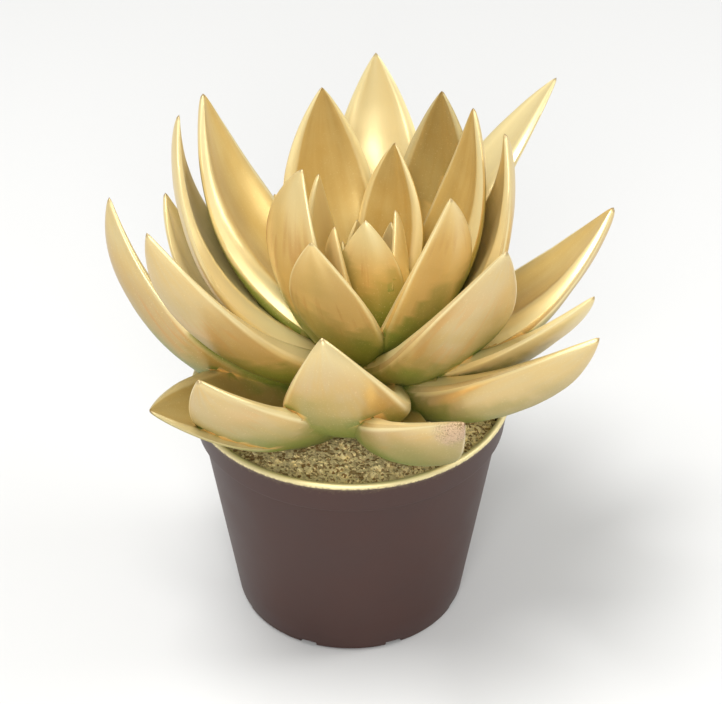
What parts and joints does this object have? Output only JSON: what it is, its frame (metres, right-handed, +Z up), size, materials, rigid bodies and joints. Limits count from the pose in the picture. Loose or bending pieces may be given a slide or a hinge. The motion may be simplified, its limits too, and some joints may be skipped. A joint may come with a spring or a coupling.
{
  "type": "potted gold-painted echeveria",
  "caption": "Succulent rosette of thick pointed leaves with a sprayed gold finish, standing in the soil of a small round plastic nursery pot.",
  "frame": {"origin": "centre of the pot's underside, on the surface that the pot stands on", "axes": "+Z up out of the pot, -Y towards the plant's front as pictured"},
  "size_m": [0.139, 0.1483, 0.1532],
  "materials": {
    "pot_plastic": "satin",
    "potting_soil": "matte",
    "gold_leaf_paint": "satin"
  },
  "bodies": {
    "root": {"pot": "pot_plastic", "soil": "potting_soil", "rosette": "gold_leaf_paint"}
  },
  "joints": []
}
